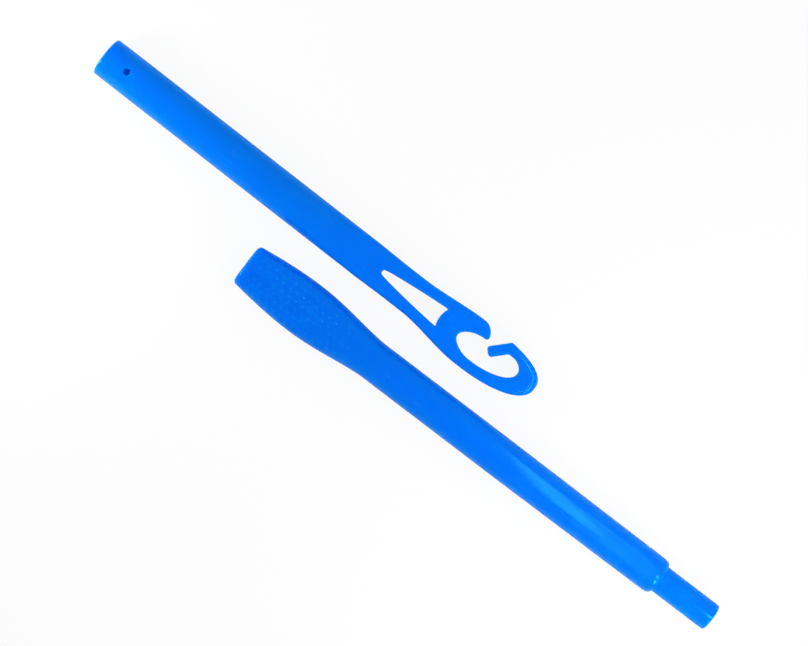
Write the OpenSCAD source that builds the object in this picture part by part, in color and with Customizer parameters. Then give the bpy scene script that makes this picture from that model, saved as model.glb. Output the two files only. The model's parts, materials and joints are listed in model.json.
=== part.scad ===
// Dressing stick in two halves, pulled apart and laid side by side.
// The hook half is a tube that flattens into a slotted head with a curled hook.
// The handle half has a flattened grip, a tube and a spigot that plugs into the hook half's
// socket, where a sprung button locks it. All sizes are in millimetres, +Z is up, both halves
// lie on z = 0 and the origin is the middle of the base of the pair's box.

/* [Hook half] */
// Length from the mouth of the socket to the end of the hook
hook_half_length = 335.8; // [320:0.1:360]
// Outer diameter of the hook half's tube
tube_d = 25.8; // [25:0.1:28]
// Distance from the mouth at which the tube starts to flatten
flatten_start = 150; // [120:1:165]
// Radius of the rounded rim round the socket's mouth
rim_radius = 1.3; // [0.5:0.1:1.5]

/* [Plug joint] */
// Diameter of the spigot
spigot_d = 18; // [17:0.1:18.6]
// Length of the spigot beyond the shoulder
spigot_length = 40.4; // [34:0.1:50]
// Play between spigot and socket, on the radius
plug_clearance = 0.15; // [0.1:0.05:0.3]
// Room between the spigot's tip and the end of the socket
socket_end_room = 1.6; // [1:0.1:4]
// Height of the lead-in chamfers of spigot and socket
lead_in = 0.7; // [0.4:0.1:1]
// Diameter of the hollow behind the socket
hook_core_d = 16.6; // [12:0.1:16.8]

/* [Lock] */
// Distance from the shoulder to the lock's button and hole
lock_offset = 18; // [12:0.5:20]
// Diameter of the button's pin
button_d = 3.8; // [3.4:0.1:4.4]
// Play round the pin in the spigot's wall, on the radius
button_play = 0.15; // [0.1:0.05:0.2]
// Play round the pin in the hook half's hole, on the radius
lock_hole_play = 0.25; // [0.15:0.05:0.4]
// Height of the button above the spigot
button_height = 3; // [2.4:0.1:3.1]
// Thickness of the button's flange
flange_thickness = 0.8; // [0.6:0.1:1]
// Diameter of the button's flange
flange_d = 6; // [5.6:0.1:6.6]
// Diameter of the spigot's hollow
spigot_core_d = 12.6; // [12.2:0.1:13]
// Thickness of the leaf spring's strip
strip_thickness = 0.5; // [0.4:0.05:0.6]
// Width of the leaf spring's strip
strip_width = 5; // [4:0.1:5.4]
// Length of the leaf spring
spring_length = 27; // [24:0.5:30]

/* [Handle tube] */
// Length of the handle half from the end of the grip to the shoulder
handle_body_length = 321.3; // [300:0.1:350]
// Diameter of the tube beside the grip
handle_tube_d = 25; // [24:0.1:26]
// Diameter of the tube at the shoulder
shoulder_d = 24; // [22.5:0.1:24.5]
// Distance from the grip's end to where the tube starts to taper
taper_start = 200; // [160:1:220]
// Radius of the rounded shoulder
shoulder_radius = 2; // [1:0.1:2.4]
// Depth of the spigot's hollow from its tip
handle_core_depth = 240; // [150:1:250]

/* [Grip] */
// Length of the grip
grip_length = 99; // [90:1:110]
// Width of the grip at its widest
grip_width = 34.8; // [32:0.1:38]
// Width of the grip at its flat end
grip_end_width = 27.6; // [26:0.1:30]
// Thickness of the grip at its widest
grip_thickness = 21; // [18:0.1:23]
// Thickness of the grip at its flat end
grip_end_thickness = 18.4; // [16:0.1:20]
// Distance from the end to the grip's widest place
grip_crown = 45; // [38:1:52]
// Radius of the edge round the flat end
grip_edge_radius = 2.4; // [1:0.1:3]

/* [Head] */
// Thickness of the head beside the slot
head_thickness = 10.4; // [9:0.1:12]
// Thickness of the hook
hook_thickness = 8.8; // [7:0.1:10]
// How far each side of the head draws in beside the slot
waist = 0.4; // [0:0.1:1]
// Distance from the axis to the head's edge on the thumb's side
thumb_side = 15.4; // [14.5:0.1:16.5]
// Distance from the axis to the head's edge on the hook's side
hook_side = 17.4; // [16.5:0.1:19]
// Length of the head's rounded end
nose_length = 47; // [45:0.5:49]

/* [Slot] */
// Length of the tapered slot
slot_length = 46; // [40:0.1:47]
// Width of the slot's wide end
slot_width = 13.2; // [11:0.1:13.6]
// Radius of the slot's narrow end
slot_end_radius = 1.8; // [1.4:0.1:2.2]
// How far the slot's long sides bow outwards
slot_bow = 0.4; // [0:0.1:0.8]
// How far the web bulges into the slot
web_bulge = 1.2; // [0.4:0.1:2]
// Width of the web between the slot and the hook's eye
web_width = 14.9; // [12:0.1:16]
// Radius of the rounded edges inside the slot and the eye
edge_radius = 1.4; // [0.8:0.1:1.6]
// Length of the ramp on the web's edge beside the slot
ramp_length = 4.6; // [3:0.1:6]
// Depth of the ramp on the web's edge beside the slot
ramp_depth = 1.5; // [0.8:0.1:2]

/* [Hook] */
// Width of the bar below the eye
hook_bar = 7.2; // [6.5:0.1:9]
// Width of the hook's end beyond the eye
hook_end = 14; // [13:0.1:16]
// Width of the bar above the eye
hook_top = 6.6; // [6:0.1:7.5]
// Width of the finger
finger_width = 6.9; // [6:0.1:7.6]
// Length of the finger from its outer corner
finger_length = 16.1; // [15:0.1:17]
// Angle between the finger and the stick
finger_angle = 46.4; // [44:0.2:49]
// Distance from the end of the hook to the finger's outer corner
finger_corner = 28.3; // [27:0.1:30]
// Radius of the thumb's rounded end
thumb_radius = 10; // [9:0.1:11]
// Distance from the end of the hook to the end of the thumb
thumb_end = 41.2; // [40:0.1:43]

/* [Layout] */
// Gap between the hook half's tube and the grip at its widest
lay_gap = 17.7; // [10:0.1:40]
// Distance from the socket's mouth to the grip's end, along the hook half
lay_shift = 147.5; // [100:0.5:200]
// Angle between the two halves
lay_angle = 0.63; // [0:0.01:1.2]

/* [Hidden] */
$fn = 96;

blue = "dodgerblue";
steel = "silver";

ring_points = 40; // points round each section of a loft
cut_margin = 1; // how far a cut runs past the surface it opens
seat = 0.05; // step between a loft's end and the round tube it meets
join = 4; // how far a round tube's core reaches into the loft it meets
join_step = 2; // how much smaller in radius that core is than its tube

socket_d = spigot_d + 2 * plug_clearance;
socket_depth = spigot_length + socket_end_room;
lock_hole_d = button_d + 2 * lock_hole_play;
spigot_hole_d = button_d + 2 * button_play;
handle_length = handle_body_length + spigot_length;
handle_lock_x = handle_body_length + lock_offset;

// Places along the hook half, from the mouth
nose_start = hook_half_length - nose_length;
eye_start = nose_start - 11.2;
web_start = eye_start - web_width;
slot_start = web_start - slot_length;
hook_core_end = flatten_start + 12;
flat_start = slot_start + 6;
waist_start = slot_start - 14;
waist_end = slot_start + 10;
swell_start = slot_start + 24;
swell_end = nose_start - 2;

// The two halves' places on the surface
hook_z = tube_d / 2;
handle_z = handle_tube_d / 2;
handle_y = -(tube_d / 2 + lay_gap + grip_width / 2);
pair_length = lay_shift + handle_length * cos(lay_angle) + (spigot_d / 2 - lead_in) * sin(lay_angle);
pair_low_y = handle_y + grip_crown * sin(lay_angle) - grip_width / 2 * cos(lay_angle);
pair_origin = [pair_length / 2, (thumb_side + pair_low_y) / 2, 0];

function mix(a, b, t) = a + (b - a) * t;

// 0 before a, 1 after b and a smooth rise between them
function rise(x, a, b) = let (t = min(1, max(0, (x - a) / (b - a)))) t * t * (3 - 2 * t);

// Height of a superellipse quarter of unit height at the fraction u of its length
function quarter(u, power) = pow(max(0, 1 - pow(min(1, max(0, u)), power)), 1 / power);

function signed_power(v, e) = sign(v) * pow(abs(v), e);

// Points of a superellipse in the YZ plane at x, with half width a, half height h and centre y
function oval(x, y, a, h, power) = [
    for (i = [0 : ring_points - 1])
        let (t = 360 * (i + 0.5) / ring_points)
        [x, y + a * signed_power(cos(t), 2 / power), h * signed_power(sin(t), 2 / power)]
];

// Points of an arc, from the angle a0 to a1
function arc(centre, r, a0, a1, steps) = [
    for (i = [0 : steps])
        let (t = mix(a0, a1, i / steps))
        centre + r * [cos(t), sin(t)]
];

// A solid through a list of rings that all have the same number of points
module loft(rings) {
    n = len(rings[0]);
    last = len(rings) - 1;
    points = [for (ring = rings) each ring];
    sides = [
        for (k = [0 : last - 1], i = [0 : n - 1])
            let (j = (i + 1) % n)
            each [[k * n + i, (k + 1) * n + i, (k + 1) * n + j], [k * n + i, (k + 1) * n + j, k * n + j]]
    ];
    start_cap = [[for (i = [0 : n - 1]) i]];
    end_cap = [[for (i = [n - 1 : -1 : 0]) last * n + i]];
    polyhedron(points, concat(sides, start_cap, end_cap));
}

// Outward unit normal of a counter-clockwise outline at its point i
function outline_normal(outline, i) =
    let (
        n = len(outline),
        d = outline[(i + 1) % n] - outline[(i + n - 1) % n]
    )
    [d[1], -d[0]] / norm(d);

// Cuts an opening with rounded edges through a plate of half thickness h. The outline is
// counter-clockwise and every point of it can be seen from the centre.
module rounded_cut(outline, centre, h, r) {
    n = len(outline);
    steps = 5;
    half = [for (k = [0 : steps]) let (t = 90 * k / steps) [r * (1 - cos(t)), h - r + r * sin(t)]];
    levels = concat([for (k = [steps : -1 : 0]) [half[k][0], -half[k][1]]], half);
    last = len(levels) - 1;
    tall = [[levels[0][0], -h - cut_margin], each levels, [levels[last][0], h + cut_margin]];
    top = len(tall) - 1;
    points = concat(
        [
            for (level = tall, i = [0 : n - 1])
                let (p = outline[i] + level[0] * outline_normal(outline, i))
                [p[0], p[1], level[1]]
        ],
        [[centre[0], centre[1], tall[0][1]], [centre[0], centre[1], tall[top][1]]]
    );
    sides = [
        for (k = [0 : top - 1], i = [0 : n - 1])
            let (j = (i + 1) % n)
            each [[k * n + i, (k + 1) * n + i, (k + 1) * n + j], [k * n + i, (k + 1) * n + j, k * n + j]]
    ];
    caps = [
        for (i = [0 : n - 1])
            let (j = (i + 1) % n)
            each [[n * (top + 1), i, j], [n * (top + 1) + 1, top * n + j, top * n + i]]
    ];
    polyhedron(points, concat(sides, caps));
}

// Turns a solid that stands along +Z to lie along +X
module lie_down() {
    rotate([0, 90, 0])
        children();
}

module place_hook_half() {
    translate([0, 0, hook_z] - pair_origin)
        children();
}

module place_handle_half() {
    translate([lay_shift, handle_y, handle_z] - pair_origin)
        rotate([0, 0, lay_angle])
            children();
}

// --- Hook half -------------------------------------------------------------------------

// Distance from the axis to the head's outer edge on one side, at x
function head_edge(x, side, power) =
    x > nose_start
        ? side * quarter((x - nose_start) / nose_length, power)
        : mix(tube_d / 2 - waist * rise(x, waist_start, waist_end), side, rise(x, swell_start, swell_end));

function thumb_edge(x) = head_edge(x, thumb_side, 2.65);
function hook_edge(x) = head_edge(x, hook_side, 2.2);

// Half the head's thickness at x, which rounds off at the end of the hook
function head_half_thickness(x) =
    let (
        flat = mix(tube_d / 2, head_thickness / 2, rise(x, flatten_start, flat_start)),
        body = mix(flat, hook_thickness / 2, rise(x, web_start, nose_start)),
        edge = hook_thickness / 2
    )
    body * quarter((x - hook_half_length + edge) / edge, 2);

// How square the head's section is at x: 2 is round
function head_power(x) = mix(2, 3.4, rise(x, flatten_start, flat_start));

function head_ring(x) =
    let (
        top = thumb_edge(x),
        low = hook_edge(x),
        step = x == flatten_start ? seat : 0
    )
    oval(x, (top - low) / 2, (top + low) / 2 - step, head_half_thickness(x) - step, head_power(x));

// Height of the head's rounded face above its middle, at the point x, y
function head_height(x, y) =
    let (
        top = thumb_edge(x),
        low = hook_edge(x)
    )
    head_half_thickness(x) * quarter(abs(y - (top - low) / 2) * 2 / (top + low), head_power(x));

module head_blank() {
    flattening = [for (i = [0 : 9]) mix(flatten_start, slot_start, i / 10)];
    rails = [for (i = [0 : 9]) mix(slot_start, nose_start, i / 10)];
    nose = [for (k = [0 : 11]) nose_start + nose_length * sin(88.6 * (1 - pow(1 - k / 11, 1.25)))];
    loft([for (x = concat(flattening, rails, nose)) head_ring(x)]);
}

// Half the slot's width at the fraction u of its length
function slot_half(u) = mix(slot_end_radius, slot_width / 2, u) + slot_bow * 4 * u * (1 - u);

function slot_outline() =
    let (
        r = slot_end_radius,
        side = [for (u = [0.16 : 0.16 : 0.97]) [slot_start + u * slot_length, slot_half(u)]],
        corner = 0.8,
        w = slot_width / 2
    )
    concat(
        arc([slot_start + r, 0], r, 100, 260, 6),
        [for (p = side) [p[0], -p[1]]],
        arc([web_start + web_bulge / 2 - corner, -w + corner], corner, -80, 0, 2),
        [for (v = [-0.6 : 0.3 : 0.61]) [web_start - web_bulge / 2 + web_bulge * v * v, v * w]],
        arc([web_start + web_bulge / 2 - corner, w - corner], corner, 0, 80, 2),
        [for (i = [len(side) - 1 : -1 : 0]) side[i]]
    );

// The eye inside the hook, with the way in between the thumb and the finger
eye_end = hook_half_length - hook_end;
eye_bottom = -hook_side + hook_bar;
eye_mid_x = nose_start + 3.7; // where its two ends meet, at the bar
eye_left_y = -2.3; // middle of its rounded end beside the web
eye_right_y = 1.2; // middle of its rounded end inside the nose
eye_top_x = eye_end - 8.5; // where the bar above it levels out
eye_top_y = thumb_edge(eye_top_x) - hook_top;
thumb_x = hook_half_length - thumb_end;
thumb_low_y = 6.1; // underside of the thumb
thumb_tip_radius = 1.8;
thumb_tip_angle = 17;
thumb_lean = [cos(thumb_tip_angle), sin(thumb_tip_angle)];
thumb_tip = [thumb_x - thumb_tip_radius, thumb_low_y + thumb_tip_radius];
finger_x = hook_half_length - finger_corner;
finger_y = thumb_edge(finger_x);

// A quarter of a superellipse from its side to its top or bottom, without its end points
function quarter_arc(centre, a, b, power, t0, t1, steps) = [
    for (i = [0 : steps])
        let (t = mix(t0, t1, i / steps))
        centre + [a * signed_power(cos(t), 2 / power), b * signed_power(sin(t), 2 / power)]
];

function eye_outline() = concat(
    // round the left of the eye, from the thumb to the bar
    quarter_arc([eye_mid_x, eye_left_y], eye_mid_x - eye_start, thumb_low_y - eye_left_y, 1.8, 98, 172, 5),
    quarter_arc([eye_mid_x, eye_left_y], eye_mid_x - eye_start, eye_left_y - eye_bottom, 1.8, 188, 262, 5),
    // along the bar and round the right of the eye
    quarter_arc([eye_mid_x, eye_right_y], eye_end - eye_mid_x, eye_right_y - eye_bottom, 2, 276, 354, 9),
    quarter_arc([eye_top_x, eye_right_y], eye_end - eye_top_x, eye_top_y - eye_right_y, 1.9, 8, 90, 5),
    // out through the gap beside the finger
    [[finger_x + 2, eye_top_y + 0.4]],
    [[finger_x + 1, finger_y + 3], [thumb_x - 10, thumb_side + 3]],
    // round the thumb's end and its small lower corner
    arc(thumb_tip - (thumb_radius - thumb_tip_radius) * thumb_lean, thumb_radius, 62, 24, 4),
    arc(thumb_tip, thumb_tip_radius, thumb_tip_angle, -80, 5)
);

// The finger's tip is blunt, with two rounded corners, and its root follows the hook's face
module finger() {
    r = 2.1;
    root_r = 1.4;
    body_r = 2.6;
    along = [cos(finger_angle), sin(finger_angle)];
    across = [-along[1], along[0]];
    corner = [finger_x, finger_y];
    tip = corner - (finger_length - r) * along;
    outer_tip = tip - r * across;
    inner_tip = tip - (finger_width - r) * across;
    root = corner + [0.6, -1.45];
    body = corner + [2.8, -3.3];
    hull()
        for (end = [[outer_tip, r, hook_thickness / 2], [inner_tip, r, hook_thickness / 2],
                    [root, root_r, head_height(root[0], root[1])],
                    [body, body_r, head_height(body[0], body[1])]],
             face = [-1, 1])
            translate([end[0][0], end[0][1], face * (end[2] - end[1])])
                sphere(r = end[1], $fn = 24);
}

// The web is lower beside the slot, with a ramp on both faces
module web_ramps() {
    r = (ramp_length * ramp_length + ramp_depth * ramp_depth) / (2 * ramp_depth);
    for (side = [-1, 1])
        translate([web_start - web_bulge / 2, 0, side * (head_thickness / 2 - ramp_depth + r)])
            rotate([90, 0, 0])
                cylinder(r = r, h = slot_width - 0.8, center = true);
}

module head() {
    difference() {
        head_blank();
        rounded_cut(slot_outline(), [web_start - slot_length / 2, 0], head_thickness / 2, edge_radius);
        rounded_cut(eye_outline(), [finger_x - 3, 4], hook_thickness / 2, edge_radius);
        web_ramps();
    }
    finger();
}

module hook_tube() {
    r = tube_d / 2;
    lie_down()
        rotate_extrude()
            polygon(concat(
                [[0, 0]],
                arc([r - rim_radius, rim_radius], rim_radius, -90, 0, 5),
                [[r, flatten_start], [r - join_step, flatten_start]],
                [[r - join_step, flatten_start + join], [0, flatten_start + join]]
            ));
}

module socket() {
    lie_down() {
        translate([0, 0, -cut_margin])
            cylinder(d = socket_d, h = socket_depth + cut_margin);
        translate([0, 0, -0.01])
            cylinder(d1 = socket_d + 2 * lead_in, d2 = socket_d, h = lead_in);
        cylinder(d = hook_core_d, h = hook_core_end);
    }
}

module hook_half() {
    color(blue)
        place_hook_half()
            difference() {
                union() {
                    hook_tube();
                    head();
                }
                socket();
                translate([lock_offset, 0, 0])
                    cylinder(d = lock_hole_d, h = tube_d);
            }
}

// --- Handle half -----------------------------------------------------------------------

// Half the grip's width at x from its end
function grip_half_width(x) =
    let (
        beyond = (x - grip_crown) / (grip_length - grip_crown),
        fall = pow((1 + cos(180 * max(0, beyond))) / 2, 0.75)
    )
    x < grip_crown
        ? mix(grip_end_width, grip_width, sin(90 * x / grip_crown)) / 2
        : mix(handle_tube_d, grip_width, fall) / 2;

// Half the grip's thickness at x from its end
function grip_half_thickness(x) =
    x < grip_crown
        ? mix(grip_end_thickness, grip_thickness, sin(90 * x / grip_crown)) / 2
        : mix(grip_thickness, handle_tube_d, rise(x, grip_crown, grip_length)) / 2;

function grip_ring(x, inset) =
    let (power = mix(2.5, 2, rise(x, grip_crown, grip_length)))
    oval(x, 0, grip_half_width(x) - inset, grip_half_thickness(x) - inset, power);

module grip() {
    r = grip_edge_radius;
    edge = [for (t = [0 : 18 : 89]) grip_ring(r * (1 - cos(t)), r * (1 - sin(t)))];
    body = [for (i = [0 : 19]) grip_ring(mix(r, grip_length, i / 20), 0)];
    loft(concat(edge, body, [grip_ring(grip_length, seat)]));
}

module handle_tube() {
    r = handle_tube_d / 2;
    shoulder_r = shoulder_d / 2 - shoulder_radius;
    lie_down()
        rotate_extrude()
            polygon(concat(
                [[0, grip_length - join], [r - join_step, grip_length - join]],
                [[r - join_step, grip_length], [r, grip_length], [r, taper_start]],
                arc([shoulder_r, handle_body_length - shoulder_radius], shoulder_radius, 0, 90, 6),
                [[0, handle_body_length]]
            ));
}

module spigot() {
    translate([handle_body_length - cut_margin, 0, 0])
        lie_down() {
            cylinder(d = spigot_d, h = spigot_length + cut_margin - lead_in);
            translate([0, 0, spigot_length + cut_margin - lead_in])
                cylinder(d1 = spigot_d, d2 = spigot_d - 2 * lead_in, h = lead_in);
        }
}

module handle_core() {
    translate([handle_length - handle_core_depth, 0, 0])
        lie_down()
            cylinder(d = spigot_core_d, h = handle_core_depth + cut_margin);
}

module handle_half() {
    color(blue)
        place_handle_half()
            difference() {
                union() {
                    grip();
                    handle_tube();
                    spigot();
                }
                handle_core();
                translate([handle_lock_x, 0, -spigot_d / 2 - cut_margin])
                    cylinder(d = spigot_hole_d, h = spigot_d / 2 + cut_margin);
            }
}

// --- Lock ------------------------------------------------------------------------------

core_r = spigot_core_d / 2;
flange_room = 0.1; // gap between the flange and the wall that stops it
flange_low = -sqrt(core_r * core_r - flange_d * flange_d / 4) + flange_room;
flange_top = flange_low + flange_thickness;
strip_wall = sqrt(core_r * core_r - strip_width * strip_width / 4) - flange_room;
bend_r = (strip_wall - flange_top) / 4;

module lock_button() {
    r = button_d / 2;
    dome = 0.9;
    tip = -spigot_d / 2 - button_height;
    color(steel)
        place_handle_half()
            translate([handle_lock_x, 0, 0])
                rotate_extrude()
                    polygon(concat(
                        [[0, flange_top], [0, tip]],
                        [for (t = [30 : 20 : 90]) [r * sin(t), tip + dome * (1 - cos(t))]],
                        [[r, flange_low], [flange_d / 2, flange_low], [flange_d / 2, flange_top]]
                    ));
}

// A folded leaf: one leg lies against the hollow's wall, the bend joins it to the leg that
// presses on the button's flange
module lock_spring() {
    flange_gap = 0.05;
    foot_x = handle_lock_x - flange_d / 2;
    leg_end_x = handle_lock_x + flange_d / 2 + 1;
    bend_x = leg_end_x - spring_length;
    bend_z = strip_wall - bend_r;
    low_z = flange_top + flange_gap;
    leg_z = low_z + strip_thickness;
    profile = concat(
        arc([bend_x, bend_z], bend_r, 90, 270, 12),
        [[foot_x, low_z], [leg_end_x, low_z], [leg_end_x, leg_z], [foot_x, leg_z]],
        arc([bend_x, bend_z], bend_r - strip_thickness, 270, 90, 12),
        [[leg_end_x, strip_wall - strip_thickness], [leg_end_x, strip_wall]]
    );
    color(steel)
        place_handle_half()
            translate([0, strip_width / 2, 0])
                rotate([90, 0, 0])
                    linear_extrude(strip_width)
                        polygon(profile);
}

hook_half();
handle_half();
lock_button();
lock_spring();
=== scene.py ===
"""Looks of a dressing stick in two halves that lie side by side on a pale surface.

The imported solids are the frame. Each moulding is built again here in finer steps, in millimetres along
its own axis, and is then placed in the row's frame, in metres.
"""

import sys

import json
import logging
import math
from collections.abc import Sequence
from dataclasses import dataclass
from enum import Enum

import bmesh
import bpy
from mathutils import Matrix, Vector

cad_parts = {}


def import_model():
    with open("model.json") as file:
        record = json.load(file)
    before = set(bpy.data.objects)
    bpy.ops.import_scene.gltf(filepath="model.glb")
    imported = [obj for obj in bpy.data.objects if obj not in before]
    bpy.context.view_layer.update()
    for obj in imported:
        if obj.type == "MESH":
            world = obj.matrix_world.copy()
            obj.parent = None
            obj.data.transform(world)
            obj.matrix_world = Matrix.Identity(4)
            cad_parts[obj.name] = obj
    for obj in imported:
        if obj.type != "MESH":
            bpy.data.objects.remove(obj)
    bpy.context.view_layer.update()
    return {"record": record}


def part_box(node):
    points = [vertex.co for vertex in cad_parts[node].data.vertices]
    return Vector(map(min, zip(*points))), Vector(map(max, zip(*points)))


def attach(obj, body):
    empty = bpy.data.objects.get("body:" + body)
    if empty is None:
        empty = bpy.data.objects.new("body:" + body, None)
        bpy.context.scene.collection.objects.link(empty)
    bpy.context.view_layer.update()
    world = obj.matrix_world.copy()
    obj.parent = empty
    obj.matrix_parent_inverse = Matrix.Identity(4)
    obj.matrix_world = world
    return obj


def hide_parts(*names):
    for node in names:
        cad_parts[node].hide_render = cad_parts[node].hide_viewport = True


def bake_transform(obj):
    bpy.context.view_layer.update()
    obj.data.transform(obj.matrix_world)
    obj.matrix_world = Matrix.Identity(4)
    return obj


LOG = logging.getLogger("dressing_stick")
MM = 0.001
HOOK_BLUE = (0.0, 0.174, 0.84)
# The handle half is the same plastic as the hook half; its blue is darkened as painted shade, standing in
# for the dimmer light on it.
HANDLE_BLUE_PAINTED_SHADE = (0.0, 0.159, 0.8)
WHITE = (1.0, 1.0, 1.0, 1.0)
MOULDING_SHARP_DEGREES = 38
METAL_SHARP_DEGREES = 35
OVERCUT = 1.0
WELD = 1e-4
FINE_WELD = 1e-5
Pair = tuple[float, float]
Triple = tuple[float, float, float]
Ring = list[Vector]
Profile = list[Pair]


class LampShape(Enum):
    """The outline of a soft lamp's face."""

    RECTANGLE = "RECTANGLE"
    OVAL = "ELLIPSE"


# --- Numbers along a curve ---------------------------------------------------------------


def mix(start: float, end: float, share: float) -> float:
    """Returns the value at a share of the way from start to end."""
    return start + (end - start) * share


def rise(x: float, start: float, end: float) -> float:
    """Returns 0 before start, 1 after end and a smooth rise between them."""
    share = min(1.0, max(0.0, (x - start) / (end - start)))
    return share * share * (3 - 2 * share)


def quarter(share: float, power: float) -> float:
    """Returns the height of a unit superellipse quarter at a share of its length."""
    return max(0.0, 1 - min(1.0, max(0.0, share)) ** power) ** (1 / power)


def steps(start: float, end: float, count: int) -> list[float]:
    """Returns count + 1 even steps from start to end."""
    return [mix(start, end, index / count) for index in range(count + 1)]


def arc(
    centre: Vector,
    radius: float,
    start: float,
    end: float,
    count: int,
    along: float | None = None,
    power: float = 2.0,
) -> list[Vector]:
    """Returns the points of an arc of a circle or a superellipse.

    Args:
        centre: Middle of the arc, in two dimensions.
        radius: Radius of the arc, or its half size along the first axis.
        start: First angle in degrees.
        end: Last angle in degrees.
        count: Number of steps.
        along: Half size along the second axis, where it differs from the radius.
        power: How square the arc is; 2 is round.

    Returns:
        The arc's points, first and last included.
    """
    points = []
    for angle in steps(start, end, count):
        c, s = math.cos(math.radians(angle)), math.sin(math.radians(angle))
        reach_x = radius * math.copysign(abs(c) ** (2 / power), c)
        reach_y = (along or radius) * math.copysign(abs(s) ** (2 / power), s)
        points.append(Vector((centre.x + reach_x, centre.y + reach_y)))
    return points


def quarter_round(radius: float, start: float, end: float, count: int) -> Profile:
    """Returns a rounded edge as pairs of a height up the side and a distance in from it.

    Args:
        radius: Radius of the edge.
        start: First angle in degrees, where 0 is the foot of the rounding.
        end: Last angle in degrees, where 90 is its top.
        count: Number of steps.

    Returns:
        The pairs, first and last included.
    """
    angles = [math.radians(angle) for angle in steps(start, end, count)]
    return [(radius * math.sin(angle), radius * (1 - math.cos(angle))) for angle in angles]


@dataclass(frozen=True)
class Section:
    """One cross section of a moulding, square to the stick's axis, in millimetres."""

    x: float
    half_width: float
    half_height: float
    y: float = 0.0
    power: float = 2.0

    def ring(self, count: int, inset: float = 0.0) -> Ring:
        """Returns the section's points.

        Args:
            count: Number of points.
            inset: How far the points lie inside the section.

        Returns:
            A ring of points in three dimensions.
        """
        points = []
        for index in range(count):
            angle = math.tau * index / count
            c, s = math.cos(angle), math.sin(angle)
            reach = (abs(c) ** self.power + abs(s) ** self.power) ** (-1 / self.power)
            across = self.y + (self.half_width - inset) * c * reach
            points.append(Vector((self.x, across, (self.half_height - inset) * s * reach)))
        return points


# --- Mesh work ---------------------------------------------------------------------------


def loft(rings: Sequence[Ring]) -> bmesh.types.BMesh:
    """Draws a circle of edges out through a list of rings and closes both ends.

    Args:
        rings: Rings with the same number of points.

    Returns:
        A closed solid.
    """
    bm = bmesh.new()
    place = bm.verts.layers.int.new("place")
    circle = bmesh.ops.create_circle(bm, segments=len(rings[0]), radius=1.0)["verts"]
    for index, vert in enumerate(circle):
        vert[place] = index
        vert.co = rings[0][index]
    edges = list(bm.edges)
    bmesh.ops.contextual_create(bm, geom=edges)
    for ring in rings[1:]:
        grown = bmesh.ops.extrude_edge_only(bm, edges=edges)["geom"]
        verts = {item for item in grown if isinstance(item, bmesh.types.BMVert)}
        between = [item for item in grown if isinstance(item, bmesh.types.BMEdge)]
        edges = [edge for edge in between if verts.issuperset(edge.verts)]
        for vert in verts:
            vert.co = ring[vert[place]]
    bmesh.ops.contextual_create(bm, geom=edges)
    bmesh.ops.recalc_face_normals(bm, faces=bm.faces)
    return bm


def turned(profile: Profile, count: int) -> bmesh.types.BMesh:
    """Turns a profile about the X axis.

    Args:
        profile: Pairs of a place along the axis and a radius, which starts and ends on the axis.
        count: Number of steps round the axis.

    Returns:
        A closed solid.
    """
    bm = bmesh.new()
    verts = [bm.verts.new((x, 0.0, radius)) for x, radius in profile]
    edges = [bm.edges.new(pair) for pair in zip(verts, verts[1:])]
    bmesh.ops.spin(
        bm, geom=verts + edges, cent=(0, 0, 0), axis=(1, 0, 0), angle=math.tau, steps=count, use_merge=True
    )
    bmesh.ops.remove_doubles(bm, verts=bm.verts, dist=FINE_WELD)
    bmesh.ops.recalc_face_normals(bm, faces=bm.faces)
    return bm


def upended(bm: bmesh.types.BMesh, x: float, degrees: float) -> bmesh.types.BMesh:
    """Stands a turned solid up on the stick's axis.

    Args:
        bm: A solid turned about the X axis.
        x: Where it goes along the stick.
        degrees: Its turn about the Y axis; 90 points it down and -90 up.

    Returns:
        The same solid, moved.
    """
    upright = Matrix.Translation((x, 0, 0)) @ Matrix.Rotation(math.radians(degrees), 4, "Y")
    bmesh.ops.transform(bm, matrix=upright, verts=bm.verts)
    return bm


def flare(start: float, radius: float, edge: float, first_degrees: float, count: int) -> Profile:
    """Returns the rounded mouth of a hole, for turning about the hole's axis.

    Args:
        start: Where the rounding starts along the hole's axis.
        radius: The hole's radius.
        edge: Radius of the rounding.
        first_degrees: Angle of the first point.
        count: Number of steps.

    Returns:
        Pairs of a place along the axis and a radius.
    """
    rounding = quarter_round(edge, first_degrees, 90, count)
    return [(start + height, radius + spread) for height, spread in rounding]


def outline_normals(outline: Sequence[Vector]) -> list[Vector]:
    """Returns the outward unit normals of a counter-clockwise outline."""
    count = len(outline)
    normals = []
    for index in range(count):
        along = outline[(index + 1) % count] - outline[index - 1]
        normals.append(Vector((along.y, -along.x)).normalized())
    return normals


def rounded_opening(outline: Sequence[Vector], half: float, radius: float, count: int) -> bmesh.types.BMesh:
    """Makes the tool that cuts an opening with rounded edges through a plate.

    Args:
        outline: Counter-clockwise outline of the opening at the plate's middle.
        half: Half the plate's thickness.
        radius: Radius of the rounded edges on both faces.
        count: Steps in each rounding.

    Returns:
        A closed solid that runs past both faces.
    """
    normals = outline_normals(outline)
    upper = [(spread, half - radius + z) for z, spread in quarter_round(radius, 0, 90, count)]
    levels = [(spread, -z) for spread, z in reversed(upper)] + upper
    levels = [(radius, -half - OVERCUT)] + levels + [(radius, half + OVERCUT)]
    rings = []
    for spread, z in levels:
        rings.append([(p + spread * n).to_3d() + Vector((0, 0, z)) for p, n in zip(outline, normals)])
    return loft(rings)


def linked(name: str, data: bpy.types.ID) -> bpy.types.Object:
    """Returns a new object with this mesh, lamp or camera, linked to the scene."""
    made = bpy.data.objects.new(name, data)
    bpy.context.scene.collection.objects.link(made)
    return made


def as_object(bm: bmesh.types.BMesh, name: str) -> bpy.types.Object:
    """Moves a bmesh into a new object that is linked to the scene."""
    mesh = bpy.data.meshes.new(name)
    bm.to_mesh(mesh)
    bm.free()
    return linked(name, mesh)


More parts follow.
